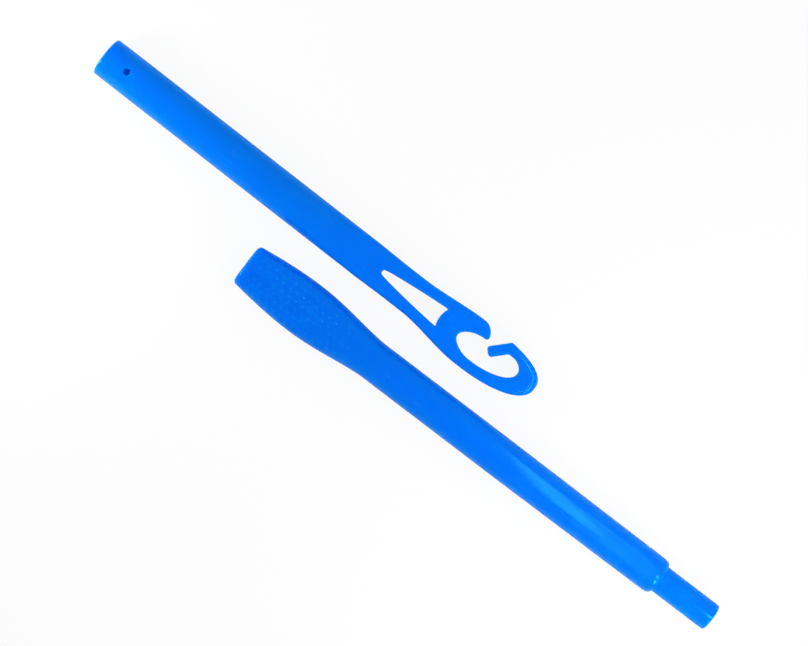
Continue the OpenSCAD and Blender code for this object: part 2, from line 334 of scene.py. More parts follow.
def carve(body: bmesh.types.BMesh, tools: Sequence[bmesh.types.BMesh], name: str) -> bpy.types.Object:
    """Cuts openings and hollows into a solid.

    Args:
        body: The solid to work on.
        tools: The solids to take away from it, in order.
        name: Name of the result.

    Returns:
        A new object with the finished mesh and no modifiers.
    """
    work = as_object(body, f"{name}_work")
    helpers = []
    for index, tool in enumerate(tools):
        helper = as_object(tool, f"{name}_tool_{index}")
        modifier = work.modifiers.new(f"cut_{index}", "BOOLEAN")
        modifier.operation = "DIFFERENCE"
        modifier.solver = "EXACT"
        modifier.object = helper
        helpers.append(helper)
    graph = bpy.context.evaluated_depsgraph_get()
    mesh = bpy.data.meshes.new_from_object(work.evaluated_get(graph))
    for spare in [work, *helpers]:
        bpy.data.objects.remove(spare, do_unlink=True)
    mesh.name = name
    return linked(name, mesh)


def finished(piece: bpy.types.Object, placement: Matrix, sharp_degrees: float) -> bpy.types.Object:
    """Places a piece's mesh in the row's frame and shades it smooth between its sharp edges.

    Args:
        piece: The piece, with its mesh in millimetres along its own axis.
        placement: Matrix from the piece's own axis to the row's frame.
        sharp_degrees: Angle from which an edge stays sharp.

    Returns:
        The same piece.
    """
    bm = bmesh.new()
    bm.from_mesh(piece.data)
    bmesh.ops.remove_doubles(bm, verts=bm.verts, dist=WELD)
    bmesh.ops.dissolve_degenerate(bm, edges=bm.edges, dist=WELD)
    bmesh.ops.transform(bm, matrix=placement, verts=bm.verts)
    bm.to_mesh(piece.data)
    bm.free()
    piece.data.shade_smooth()
    piece.data.set_sharp_from_angle(angle=math.radians(sharp_degrees))
    return piece


# --- Shader work -------------------------------------------------------------------------


class Signal:
    """A shader socket whose arithmetic adds Math nodes."""

    def __init__(self, shader: "Shader", socket: bpy.types.NodeSocket) -> None:
        """Wraps an output socket of a shader's node."""
        self.shader = shader
        self.socket = socket

    def _math(self, operation: str, *values: "Signal | float") -> "Signal":
        """Adds one Math node over the given values."""
        return self.shader.node("ShaderNodeMath", {"operation": operation}, dict(enumerate(values)))

    def __add__(self, other: "Signal | float") -> "Signal":
        """Returns self + other."""
        return self._math("ADD", self, other)

    __radd__ = __add__

    def __sub__(self, other: "Signal | float") -> "Signal":
        """Returns self - other."""
        return self._math("SUBTRACT", self, other)

    def __rsub__(self, other: float) -> "Signal":
        """Returns other - self."""
        return self._math("SUBTRACT", other, self)

    def __mul__(self, other: "Signal | float") -> "Signal":
        """Returns self * other."""
        return self._math("MULTIPLY", self, other)

    __rmul__ = __mul__

    def above(self, limit: float, width: float) -> "Signal":
        """Returns 0 below limit, 1 above limit + width and a smooth step between them."""
        values = {"Value": self, "From Min": limit, "From Max": limit + width}
        return self.shader.node("ShaderNodeMapRange", {"interpolation_type": "SMOOTHSTEP"}, values)

    def size(self) -> "Signal":
        """Returns the value without its sign."""
        return self._math("ABSOLUTE", self)


Value = Signal | float | tuple[float, ...]


class Shader:
    """Builds one material's nodes round a principled shader."""

    def __init__(self, name: str) -> None:
        """Starts an empty material with its principled shader and output."""
        self.material = bpy.data.materials.new(name)
        self.material.use_nodes = True
        self.tree = self.material.node_tree
        self.tree.nodes.clear()
        self.surface = self.tree.nodes.new("ShaderNodeBsdfPrincipled")
        self.output = self.tree.nodes.new("ShaderNodeOutputMaterial")
        self.paint = Signal(self, self.surface.outputs["BSDF"])
        self.show(self.paint)
        self.place = self.node("ShaderNodeTexCoord", output="Object")

    def node(
        self,
        kind: str,
        settings: dict[str, object] | None = None,
        inputs: dict[str | int, Value] | None = None,
        output: str | int = 0,
    ) -> Signal:
        """Adds a node.

        Args:
            kind: The node's type.
            settings: Its settings, set before its sockets.
            inputs: Values or links of its sockets, by name or number.
            output: The output to return, by name or number.

        Returns:
            The node's output as a signal.
        """
        made = self.tree.nodes.new(kind)
        for key, value in (settings or {}).items():
            setattr(made, key, value)
        for key, value in (inputs or {}).items():
            self._plug(made.inputs[key], value)
        return Signal(self, made.outputs[output])

    def _plug(self, socket: bpy.types.NodeSocket, value: Value) -> None:
        """Links a signal to a socket, or sets the socket's own value."""
        if isinstance(value, Signal):
            self.tree.links.new(value.socket, socket)
        else:
            socket.default_value = value

    def show(self, surface: Signal) -> None:
        """Makes a shader signal the material's surface."""
        self._plug(self.output.inputs["Surface"], surface)

    def stretched(self, scale: Triple, turn: float = 0.0) -> Signal:
        """Returns the object's coordinates, turned about Z and then scaled axis by axis."""
        turning = {"Vector": self.place, "Rotation": (0.0, 0.0, turn)}
        turned_place = self.node("ShaderNodeMapping", inputs=turning)
        return self.node("ShaderNodeMapping", inputs={"Vector": turned_place, "Scale": scale})

    def noise(self, vector: Signal, scale: float, detail: float = 2.0, roughness: float = 0.5) -> Signal:
        """Returns a noise value round 0.5."""
        values = {"Vector": vector, "Scale": scale, "Detail": detail, "Roughness": roughness}
        return self.node("ShaderNodeTexNoise", inputs=values)

    def blend(self, share: Signal, low: Value, high: Value) -> Signal:
        """Returns a colour between low and high."""
        settings = {"data_type": "RGBA"}
        return self.node("ShaderNodeMix", settings, {0: share, 6: low, 7: high}, output=2)

    def bump(self, height: Signal, relief: Pair, below: Signal | None = None) -> Signal:
        """Adds a Bump node on top of another one.

        Args:
            height: Height as a share of the relief's depth.
            relief: Its depth in metres, and how much of it shows.
            below: The normal that this bump is laid over.

        Returns:
            The bumped normal.
        """
        depth, strength = relief
        values: dict[str | int, Value] = {"Height": height, "Distance": depth, "Strength": strength}
        if below is not None:
            values["Normal"] = below
        return self.node("ShaderNodeBump", inputs=values)

    def feed(self, **values: Value) -> None:
        """Links or sets the principled shader's sockets, named with underscores for spaces."""
        for key, value in values.items():
            self._plug(self.surface.inputs[key.replace("_", " ")], value)


@dataclass(frozen=True)
class MouldedPlastic:
    """Glossy coloured plastic from a polished mould, lightly handled.

    A range is the value at which a mark starts or ends and the step over which it fades. A relief is a
    depth in metres and how much of it shows. The glint tints the mirrored light, strongly in green and
    blue, so that highlights stay blue.
    """

    name: str
    colour: Triple
    axis_turn: float
    parting_height: float
    roughness: float = 0.11
    tone_dulling: float = 0.1
    scratch_dulling: float = 0.15
    refraction: float = 1.49
    gloss: float = 0.04
    glint: Triple = (0.8, 11.0, 13.0)
    translucence: float = 1.0
    glow_depth: float = 0.008
    glow_reach: Triple = (0.1, 0.6, 1.0)
    deep_shade: Triple = (1.0, 0.97, 0.98)
    light_shade: Triple = (1.0, 1.03, 1.01)
    rub_lift: Triple = (0.05, 0.12, 0.05)
    cloud_share: float = 0.6
    cloud_scale: float = 26.0
    flow_scale: float = 90.0
    flow_stretch: float = 0.25
    grain_scale: float = 900.0
    scratch_scale: float = 1600.0
    scratch_stretch: float = 0.03
    scratch_patch_scale: float = 60.0
    tone_range: Pair = (0.36, 0.28)
    scratch_range: Pair = (0.66, 0.04)
    scratch_patch_range: Pair = (0.56, 0.1)
    parting_range: Pair = (0.00006, 0.00012)
    scratch_share: float = 0.35
    grain_relief: Pair = (0.00005, 0.25)
    flow_relief: Pair = (0.0002, 0.12)
    parting_relief: Pair = (0.00008, 0.5)
    scratch_relief: Pair = (0.00003, 0.4)

    def material(self) -> bpy.types.Material:
        """Returns the plastic's material."""
        shader = Shader(self.name)
        along = shader.stretched((self.flow_stretch, 1.0, 1.0), -self.axis_turn)
        far_along = shader.stretched((self.scratch_stretch, 1.0, 1.0), -self.axis_turn)
        cloud = shader.noise(shader.place, self.cloud_scale, detail=3.0)
        flow = shader.noise(along, self.flow_scale, detail=4.0, roughness=0.6)
        grain = shader.noise(shader.place, self.grain_scale, detail=2.0)
        scratch_lines = shader.noise(far_along, self.scratch_scale, detail=1.0)
        scratch_patches = shader.noise(shader.place, self.scratch_patch_scale, detail=1.0)
        scratches = scratch_lines.above(*self.scratch_range)
        scratches = scratches * scratch_patches.above(*self.scratch_patch_range)
        tone = cloud * self.cloud_share + flow * (1 - self.cloud_share)
        deep = (*(a * b for a, b in zip(self.colour, self.deep_shade)), 1.0)
        light = (*(a * b for a, b in zip(self.colour, self.light_shade)), 1.0)
        body = shader.blend(tone.above(*self.tone_range), deep, light)
        pale = (*(min(1.0, a + b) for a, b in zip(self.colour, self.rub_lift)), 1.0)
        rubbed = shader.blend(scratches * self.scratch_share, body, pale)
        height = shader.node("ShaderNodeSeparateXYZ", inputs={0: shader.place}, output=2)
        off_line = (height - self.parting_height).size()
        parting = 1.0 - off_line.above(*self.parting_range)
        normal = shader.bump(grain, self.grain_relief)
        normal = shader.bump(flow, self.flow_relief, below=normal)
        normal = shader.bump(parting, self.parting_relief, below=normal)
        normal = shader.bump(1.0 - scratches, self.scratch_relief, below=normal)
        dull = self.roughness + (tone - 0.5) * self.tone_dulling + scratches * self.scratch_dulling
        shader.feed(Base_Color=rubbed, Roughness=dull, Normal=normal)
        shader.feed(IOR=self.refraction, Specular_IOR_Level=self.gloss)
        shader.feed(Specular_Tint=(*self.glint, 1.0))
        shader.feed(Subsurface_Weight=self.translucence, Subsurface_Scale=self.glow_depth)
        shader.feed(Subsurface_Radius=self.glow_reach)
        return shader.material


@dataclass(frozen=True)
class SpringSteel:
    """Bare steel with fine lines along the way it was rolled or turned.

    Ranges and reliefs are given as the plastic's are.
    """

    name: str
    colour: Triple
    grain: Triple
    roughness: float = 0.3
    line_dulling: float = 0.15
    spot_dulling: float = 0.2
    line_share: float = 0.6
    line_scale: float = 2400.0
    cloud_scale: float = 300.0
    spot_scale: float = 1300.0
    shine_range: Pair = (0.38, 0.24)
    spot_range: Pair = (0.66, 0.08)
    spot_share: float = 0.4
    dimming: float = 0.72
    tarnish: Triple = (0.28, 0.25, 0.22)
    line_relief: Pair = (0.00004, 0.4)

    def material(self) -> bpy.types.Material:
        """Returns the steel's material."""
        shader = Shader(self.name)
        lines = shader.noise(shader.stretched(self.grain), self.line_scale, detail=3.0)
        cloud = shader.noise(shader.place, self.cloud_scale, detail=3.0)
        spots = shader.noise(shader.place, self.spot_scale, detail=2.0).above(*self.spot_range)
        bright = (*self.colour, 1.0)
        dim = (*(self.dimming * share for share in self.colour), 1.0)
        tone = lines * self.line_share + cloud * (1 - self.line_share)
        polished = shader.blend(tone.above(*self.shine_range), dim, bright)
        worn = shader.blend(spots * self.spot_share, polished, (*self.tarnish, 1.0))
        normal = shader.bump(lines, self.line_relief)
        shader.feed(Base_Color=worn, Metallic=1.0, Normal=normal)
        shader.feed(Roughness=self.roughness + lines * self.line_dulling + spots * self.spot_dulling)
        return shader.material


BUTTON_STEEL = SpringSteel("button_steel", (0.62, 0.62, 0.64), grain=(1.0, 1.0, 0.1), roughness=0.22)
LEAF_STEEL = SpringSteel("spring_steel", (0.48, 0.49, 0.51), grain=(0.05, 1.0, 1.0), roughness=0.34)


def dress(
    piece: bpy.types.Object, material: bpy.types.Material, body: str | None, node: str
) -> None:
    """Gives a finished piece its material and its place in the frame.

    Args:
        piece: The finished piece.
        material: Its material.
        body: The body that it rides on, or None where it bends between two bodies.
        node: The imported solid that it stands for.
    """
    piece.data.materials.clear()
    piece.data.materials.append(material)
    if body:
        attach(piece, body)
    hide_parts(node)
    faces = sum(len(face.vertices) - 2 for face in piece.data.polygons)
    LOG.info("%s: %d triangles, on %s", piece.name, faces, body or "two bodies")


# --- Places from the frame ---------------------------------------------------------------


@dataclass(frozen=True)
class Frame:
    """Where the two halves lie in the row's frame."""

    hook: Matrix
    handle: Matrix
    lay_angle: float
    hook_height: float
    handle_height: float

    @classmethod
    def read(cls, record: dict, handle_reach: float) -> "Frame":
        """Works out the halves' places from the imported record.

        Args:
            record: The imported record.
            handle_reach: Distance from the grip's end to the middle of the spigot's wall, in millimetres.

        Returns:
            The placements, each from millimetres along a half's own axis to the row's frame.
        """
        mounts = {mount["name"]: mount for mount in record["mounts"]}
        socket = Vector(mounts["socket"]["pos_m"])
        mouth_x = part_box("hook_half")[0][0]
        hook = Matrix.Translation((mouth_x, socket.y, socket.z)) @ Matrix.Scale(MM, 4)
        spigot = Vector(mounts["spigot"]["pos_m"])
        axis = Vector(mounts["spigot"]["axis"])
        lay_angle = math.atan2(axis.y, axis.x)
        end = spigot - axis * handle_reach * MM
        handle = Matrix.Translation(end) @ Matrix.Rotation(lay_angle, 4, "Z") @ Matrix.Scale(MM, 4)
        return cls(hook, handle, lay_angle, socket.z, spigot.z)


# --- The hook half -----------------------------------------------------------------------


@dataclass
class HookHalf:
    """The tube that flattens into a slotted head with a curled hook. Sizes are in millimetres."""

    length: float = 335.8
    tube_radius: float = 12.9
    rim_radius: float = 1.3
    flatten_start: float = 150.0
    socket_radius: float = 9.15
    socket_depth: float = 42.0
    lead_in: float = 0.7
    mouth_edge: float = 0.1
    core_radius: float = 8.3
    core_end: float = 162.0
    hole_x: float = 18.0
    hole_radius: float = 2.15
    hole_edge: float = 0.7
    hole_sink: float = 0.1
    head_half: float = 5.2
    hook_half: float = 4.4
    head_power: float = 3.4
    waist: float = 0.4
    waist_before: float = 14.0
    waist_after: float = 10.0
    widening_delay: float = 24.0
    widening_lead: float = 2.0
    flat_delay: float = 6.0
    thumb_side: float = 15.36
    thumb_nose_power: float = 2.65
    hook_side: float = 17.4
    hook_nose_power: float = 2.2
    nose_length: float = 47.0
    eye_lead: float = 11.2
    slot_length: float = 46.0
    slot_half: float = 6.6
    slot_end_radius: float = 1.8
    slot_bow: float = 0.4
    slot_corner_radius: float = 0.8
    web_bulge: float = 1.2
    web_width: float = 14.9
    edge_radius: float = 1.4
    ramp_length: float = 6.4
    ramp_depth: float = 1.5
    ramp_lift: float = 0.03
    ramp_margin: float = 0.4
    ramp_overcut: float = 3.0
    hook_bar: float = 7.2
    hook_end: float = 14.0
    hook_top: float = 6.6
    finger_width: float = 6.9
    finger_tip_radius: float = 2.1
    finger_root_radius: float = 3.0
    finger_corner_radius: float = 1.6
    finger_length: float = 16.1
    finger_angle: float = 46.4
    finger_corner: float = 28.3
    finger_knuckle: float = 0.85
    thumb_radius: float = 10.0
    thumb_end: float = 41.2
    thumb_low: float = 6.1
    thumb_tip_radius: float = 1.8
    thumb_tip_angle: float = 17.0
    eye_middle: float = 3.7
    eye_left_y: float = -2.3
    eye_right_y: float = 1.2
    eye_top_back: float = 8.5
    eye_power: float = 1.8
    eye_top_power: float = 1.9
    way_in_margin: float = 4.0
    way_in_left: float = 11.0
    way_in_right: float = 1.5
    shoulder_lead: float = 3.0
    ring_points: int = 128

    def __post_init__(self) -> None:
        """Works out the places along the half."""
        self.nose_start = self.length - self.nose_length
        self.eye_start = self.nose_start - self.eye_lead
        self.web_start = self.eye_start - self.web_width
        self.slot_start = self.web_start - self.slot_length
        self.flat_start = self.slot_start + self.flat_delay
        self.eye_end = self.length - self.hook_end
        self.finger_x = self.length - self.finger_corner
        self.thumb_x = self.length - self.thumb_end

    def _edge(self, x: float, side: float, power: float) -> float:
        """Returns the distance from the axis to the head's edge on one side."""
        if x > self.nose_start:
            return side * quarter((x - self.nose_start) / self.nose_length, power)
        drawn_in = rise(x, self.slot_start - self.waist_before, self.slot_start + self.waist_after)
        wide = rise(x, self.slot_start + self.widening_delay, self.nose_start - self.widening_lead)
        return mix(self.tube_radius - self.waist * drawn_in, side, wide)

    def thumb_edge(self, x: float) -> float:
        """Returns the distance from the axis to the edge on the thumb's side."""
        return self._edge(x, self.thumb_side, self.thumb_nose_power)

    def hook_edge(self, x: float) -> float:
        """Returns the distance from the axis to the edge on the hook's side."""
        return self._edge(x, self.hook_side, self.hook_nose_power)

    def section(self, x: float) -> Section:
        """Returns the half's cross section at x."""
        flat = mix(self.tube_radius, self.head_half, rise(x, self.flatten_start, self.flat_start))
        body = mix(flat, self.hook_half, rise(x, self.web_start, self.nose_start))
        height = body * quarter((x - self.length + self.hook_half) / self.hook_half, 2)
        top, low = self.thumb_edge(x), self.hook_edge(x)
        power = mix(2.0, self.head_power, rise(x, self.flatten_start, self.flat_start))
        return Section(x, (top + low) / 2, height, (top - low) / 2, power)

    def blank(self) -> bmesh.types.BMesh:
        """Returns the tube with its head, before the openings are cut."""
        rings = []
        for height, inset in quarter_round(self.rim_radius, 90, 0, 8):
            rim = Section(self.rim_radius - height, self.tube_radius, self.tube_radius)
            rings.append(rim.ring(self.ring_points, inset))
        places = steps(6, self.flatten_start, 24)
        places += steps(self.flatten_start + 2, self.slot_start, 34)
        places += steps(self.slot_start + 1.5, self.nose_start, 48)
        nose_angles = [math.radians(angle) for angle in steps(2, 89.2, 44)]
        places += [self.nose_start + self.nose_length * math.sin(angle) for angle in nose_angles]
        rings += [self.section(x).ring(self.ring_points) for x in places]
        return loft(rings)

    def bore(self) -> bmesh.types.BMesh:
        """Returns the tool that cuts the socket, its lead-in and the hollow behind it."""
        wide, edge = self.socket_radius + self.lead_in, self.mouth_edge
        profile = [(-OVERCUT, 0.0), (-OVERCUT, wide + 3 * edge), (0.0, wide + edge)]
        profile += [(1.5 * edge, wide - edge), (self.lead_in, self.socket_radius + 0.4 * edge)]
        profile += [(self.lead_in + 3 * edge, self.socket_radius)]
        profile += [(x, self.socket_radius) for x in steps(8, self.socket_depth, 8)]
        profile += [(x, self.core_radius) for x in steps(self.socket_depth, self.core_end, 12)]
        profile += [(self.core_end, 0.0)]
        return turned(profile, 96)

    def lock_hole(self) -> bmesh.types.BMesh:
        """Returns the tool that cuts the lock's hole, with a softened edge."""
        surface = self.tube_radius
        start = surface - self.hole_edge - self.hole_sink
        profile = [(0.0, 0.0), (0.0, self.hole_radius)]
        profile += flare(start, self.hole_radius, self.hole_edge, 0, 6)
        above = surface + 2 * OVERCUT
        profile += [(above, self.hole_radius + self.hole_edge), (above, 0.0)]
        return upended(turned(profile, 40), self.hole_x, -90)

    def slot_outline(self) -> list[Vector]:
        """Returns the tapered slot's outline."""
        r, w, corner = self.slot_end_radius, self.slot_half, self.slot_corner_radius
        side = []
        for u in steps(0.12, 0.97, 14):
            half = mix(r, w, u) + self.slot_bow * 4 * u * (1 - u)
            side.append(Vector((self.slot_start + u * self.slot_length, half)))
        corner_x = self.web_start + self.web_bulge / 2 - corner
        web_low = self.web_start - self.web_bulge / 2
        web = [Vector((web_low + self.web_bulge * v * v, v * w)) for v in steps(-0.75, 0.75, 10)]
        outline = arc(Vector((self.slot_start + r, 0)), r, 100, 260, 12)
        outline += [Vector((p.x, -p.y)) for p in side]
        outline += arc(Vector((corner_x, corner - w)), corner, -80, 0, 4) + web
        outline += arc(Vector((corner_x, w - corner)), corner, 0, 80, 4) + side[::-1]
        return outline

    def eye_outline(self) -> list[Vector]:
        """Returns the outline of the hook's eye, with the way in between the thumb and the finger."""
        mid_x, left_y, right_y = self.nose_start + self.eye_middle, self.eye_left_y, self.eye_right_y
        top_x, low_y = self.eye_end - self.eye_top_back, self.hook_bar - self.hook_side
        top_y = self.thumb_edge(top_x) - self.hook_top
        thumb_low, tip_radius = self.thumb_low, self.thumb_tip_radius
        tip_turn = math.radians(self.thumb_tip_angle)
        lean = Vector((math.cos(tip_turn), math.sin(tip_turn)))
        tip = Vector((self.thumb_x - tip_radius, thumb_low + tip_radius))
        left, right = mid_x - self.eye_start, self.eye_end - mid_x
        power, top_power = self.eye_power, self.eye_top_power
        left_middle, right_middle = Vector((mid_x, left_y)), Vector((mid_x, right_y))
        outline = arc(left_middle, left, 98, 172, 14, thumb_low - left_y, power)
        outline += arc(left_middle, left, 188, 262, 14, left_y - low_y, power)
        outline += arc(right_middle, right, 276, 354, 24, right_y - low_y)
        top = self.eye_end - top_x
        outline += arc(Vector((top_x, right_y)), top, 8, 84, 14, top_y - right_y, top_power)
        outline += self.finger_outline(top_y)
        away = self.thumb_side + self.way_in_margin
        outline += [Vector((self.finger_x + self.way_in_right, away))]
        outline += [Vector((self.thumb_x - self.way_in_left, away))]
        middle = tip - (self.thumb_radius - tip_radius) * lean
        shoulder = arc(middle, self.thumb_radius, 80, 22, 12)
        leaving = (shoulder[0] - shoulder[1]).normalized()
        outline += [shoulder[0] + self.shoulder_lead * leaving, *shoulder]
        outline += arc(tip, tip_radius, self.thumb_tip_angle, -80, 9)
        return outline

    def finger_outline(self, top_y: float) -> list[Vector]:
        """Returns the eye's outline round the finger, from its root's inner curve to its outer corner.

        Args:
            top_y: Where the eye ends under the bar beside the finger.

        Returns:
            Points from the eye's top, round the blunt tip and out past the head's edge.
        """
        turn = math.radians(self.finger_angle)
        along = Vector((math.cos(turn), math.sin(turn)))
        across = Vector((-along.y, along.x))
        corner = Vector((self.finger_x, self.thumb_edge(self.finger_x)))
        root_r, tip_r, corner_r = self.finger_root_radius, self.finger_tip_radius, self.finger_corner_radius
        root_y = top_y - root_r
        reach = -self.finger_width - root_r - (root_y - corner.y) * across.y
        root = Vector((corner.x + reach / across.x, root_y))
        end = -self.finger_length + tip_r
        inner = corner + end * along - (self.finger_width - tip_r) * across
        outer = corner + end * along - tip_r * across
        knuckle = corner - self.finger_knuckle * along - corner_r * across
        between = (0.25, 0.5, 0.75)
        outline = arc(root, root_r, 90, 90 + self.finger_angle, 6)
        outline += [outline[-1].lerp(inner - tip_r * across, share) for share in between]
        outline += arc(inner, tip_r, self.finger_angle - 90, self.finger_angle - 180, 7)
        outline += arc(outer, tip_r, self.finger_angle - 180, self.finger_angle - 270, 7)
        outline += [outline[-1].lerp(knuckle + corner_r * across, share) for share in between]
        outline += arc(knuckle, corner_r, 90 + self.finger_angle, 100, 6)
        return outline

    def web_ramps(self) -> list[bmesh.types.BMesh]:
        """Returns the tools that hollow the web beside the slot, one for each face."""
        low = self.web_start - self.web_bulge / 2
        high = low + self.ramp_length
        half = self.slot_half - self.ramp_margin
        behind, over = low - self.ramp_overcut, self.head_half + 2 * OVERCUT
        tools = []
        for face in (-1, 1):
            rings = []
            for share in steps(-1, 1, 24):
                depth = self.ramp_depth * (1 - abs(share) ** 6) + self.ramp_lift
                floor = [(behind, self.head_half - depth)]
                for x in steps(low, high, 16):
                    top = self.section(x).half_height + self.ramp_lift
                    floor.append((x, top - depth * (1 - rise(x, low, high))))
                outline = [(behind, over), *floor, (high, over)]
                rings.append([Vector((x, share * half, face * z)) for x, z in outline])
            tools.append(loft(rings))
        return tools

    def build(self, frame: Frame) -> bpy.types.Object:
        """Returns the finished moulding in the row's frame."""
        slot = rounded_opening(self.slot_outline(), self.head_half, self.edge_radius, 8)
        eye = rounded_opening(self.eye_outline(), self.hook_half, self.edge_radius, 8)
        tools = [slot, eye, *self.web_ramps(), self.bore(), self.lock_hole()]
        piece = carve(self.blank(), tools, "hook_moulding")
        return finished(piece, frame.hook, MOULDING_SHARP_DEGREES)

    def dress(self, piece: bpy.types.Object, frame: Frame) -> None:
        """Gives the moulding its plastic and its place."""
        plastic = MouldedPlastic("hook_plastic", HOOK_BLUE, 0.0, frame.hook_height)
        dress(piece, plastic.material(), "hook_half", "hook_half")


# --- The handle half ---------------------------------------------------------------------


@dataclass
class HandleHalf:
    """The studded grip, its tube and the spigot. Sizes are in millimetres."""

    body_length: float = 321.3
    tube_radius: float = 12.5
    shoulder_radius: float = 12.0
    shoulder_round: float = 2.0
    shoulder_length: float = 4.8
    taper_start: float = 200.0
    grip_length: float = 99.0
    grip_half_width: float = 17.36
    grip_end_half_width: float = 13.8
    grip_half_height: float = 10.5
    grip_end_half_height: float = 9.2
    grip_crown: float = 45.0
    grip_fall_power: float = 0.75
    grip_power: float = 2.5
    grip_edge: float = 2.4
    spigot_radius: float = 9.0
    spigot_length: float = 40.4
    spigot_chamfer: float = 0.7
    spigot_fillet: float = 0.5
    spigot_edge: float = 0.04
    core_radius: float = 6.3
    core_depth: float = 240.0
    core_edge: float = 0.25
    button_x: float = 18.0
    button_hole: float = 2.05
    button_hole_edge: float = 0.3
    stud_start: float = 7.0
    stud_end: float = 80.0
    stud_pitch: float = 5.1
    stud_columns: int = 20
    stud_radius: float = 1.45
    stud_height: float = 0.42
    stud_power: float = 0.7
    stud_fade_in: Pair = (-2.0, 1.0)
    stud_fade_out: Pair = (-1.0, 3.0)
    bare_line: Pair = (0.1, 0.3)
    ring_points: int = 200

    @property
    def reach(self) -> float:
        """Distance from the grip's end to the middle of the spigot's straight wall."""
        return self.body_length + (self.spigot_length - self.spigot_chamfer) / 2

    def half_width(self, x: float) -> float:
        """Returns half the grip's width at x."""
        if x < self.grip_crown:
            swell = math.sin(math.pi / 2 * x / self.grip_crown)
            return mix(self.grip_end_half_width, self.grip_half_width, swell)
        beyond = (x - self.grip_crown) / (self.grip_length - self.grip_crown)
        fall = ((1 + math.cos(math.pi * min(1.0, beyond))) / 2) ** self.grip_fall_power
        return mix(self.tube_radius, self.grip_half_width, fall)

    def half_height(self, x: float) -> float:
        """Returns half the grip's thickness at x."""
        if x < self.grip_crown:
            swell = math.sin(math.pi / 2 * x / self.grip_crown)
            return mix(self.grip_end_half_height, self.grip_half_height, swell)
        return mix(self.grip_half_height, self.tube_radius, rise(x, self.grip_crown, self.grip_length))

    def grip_section(self, x: float) -> Section:
        """Returns the grip's cross section at x."""
        power = mix(self.grip_power, 2.0, rise(x, self.grip_crown, self.grip_length))
        return Section(x, self.half_width(x), self.half_height(x), 0.0, power)

    def _columns(self) -> list[float]:
        """Returns how many stud columns lie before each point of the ring at the crown."""
        ring = self.grip_section(self.grip_crown).ring(self.ring_points)
        passed = [0.0]
        for before, after in zip(ring, ring[1:]):
            passed.append(passed[-1] + (after - before).length)
        whole = passed[-1] + (ring[0] - ring[-1]).length
        return [distance / whole * self.stud_columns for distance in passed]

    def _stud(self, x: float, column: float, spacing: float) -> float:
        """Returns the height of the nearest stud as a share of its full height.

        Args:
            x: Place along the grip.
            column: Place round the grip, in columns of studs.
            spacing: Distance between two columns in millimetres.

        Returns:
            0 between the studs and 1 at the top of one.
        """
        best = 0.0
        for index in (math.floor(column), math.floor(column) + 1):
            offset = 0.5 * self.stud_pitch * (index % 2)
            along = (x - offset + self.stud_pitch / 2) % self.stud_pitch - self.stud_pitch / 2
            distance = math.hypot(along, (column - index) * spacing)
            best = max(best, 0.5 + 0.5 * math.cos(math.pi * min(1.0, distance / self.stud_radius)))
        return best**self.stud_power

    def grip_rings(self) -> list[Ring]:
        """Returns the grip's rings, with low studs whose tops are flush with its outline."""
        columns = self._columns()
        spacing = 2 * math.pi * math.hypot(self.grip_half_width, self.grip_half_height) / math.sqrt(2)
        spacing /= self.stud_columns
        rings = []
        for height, inset in quarter_round(self.grip_edge, 90, 0, 8)[1:]:
            rings.append(self.grip_section(self.grip_edge - height).ring(self.ring_points, inset))
        for x in steps(self.grip_edge, self.grip_length, 220):
            section = self.grip_section(x)
            depth = rise(x - self.stud_start, *self.stud_fade_in)
            depth -= rise(x - self.stud_end, *self.stud_fade_out)
            ring = section.ring(self.ring_points)
            lowered = section.ring(self.ring_points, self.stud_height)
            for index, column in enumerate(columns):
                tilt = abs(math.sin(math.tau * index / self.ring_points))
                face = rise(tilt, *self.bare_line)
                sunk = depth * face * (1 - self._stud(x, column, spacing))
                ring[index] = ring[index].lerp(lowered[index], sunk)
            rings.append(ring)
        return rings

    def blank(self) -> bmesh.types.BMesh:
        """Returns the grip, tube, shoulder and spigot in one solid, before the hollow is cut."""
        rings = self.grip_rings()
        stations = [(x, self.tube_radius) for x in steps(self.grip_length + 4, self.taper_start, 16)]
        shoulder_x = self.body_length - self.shoulder_length
        for x in steps(self.taper_start + 4, shoulder_x, 20):
            share = (x - self.taper_start) / (shoulder_x - self.taper_start)
            stations.append((x, mix(self.tube_radius, self.shoulder_radius, share)))
        for share in [math.sin(math.radians(angle)) for angle in steps(4, 90, 20)]:
            drop = self.shoulder_round * (1 - quarter(share, 2))
            stations.append((shoulder_x + self.shoulder_length * share, self.shoulder_radius - drop))
        fillet = self.spigot_fillet
        root = Vector((self.body_length + fillet, self.spigot_radius + fillet))
        stations += [(point.x, point.y) for point in arc(root, fillet, 180, 270, 5)]
        end = self.body_length + self.spigot_length
        straight_end = end - self.spigot_chamfer - 0.2
        stations += [(x, self.spigot_radius) for x in steps(self.body_length + 3, straight_end, 12)]
        edge, tip = self.spigot_edge, self.spigot_radius - self.spigot_chamfer
        stations += [(end - self.spigot_chamfer, self.spigot_radius - edge)]
        stations += [(end - 3 * edge, tip + 2 * edge), (end, tip - 3 * edge)]
        rings += [Section(x, radius, radius).ring(self.ring_points) for x, radius in stations]
        return loft(rings)

    def core(self) -> bmesh.types.BMesh:
        """Returns the tool that hollows the handle from the spigot's tip."""
        end = self.body_length + self.spigot_length
        edge = self.core_radius + self.core_edge
        bottom = end - self.core_depth
        profile = [(bottom, 0.0), (bottom, self.core_radius)]
        profile += [(x, self.core_radius) for x in steps(bottom + 10, end - self.core_edge, 24)]
        profile += [(end, edge), (end + OVERCUT, edge), (end + OVERCUT, 0.0)]
        return turned(profile, 80)

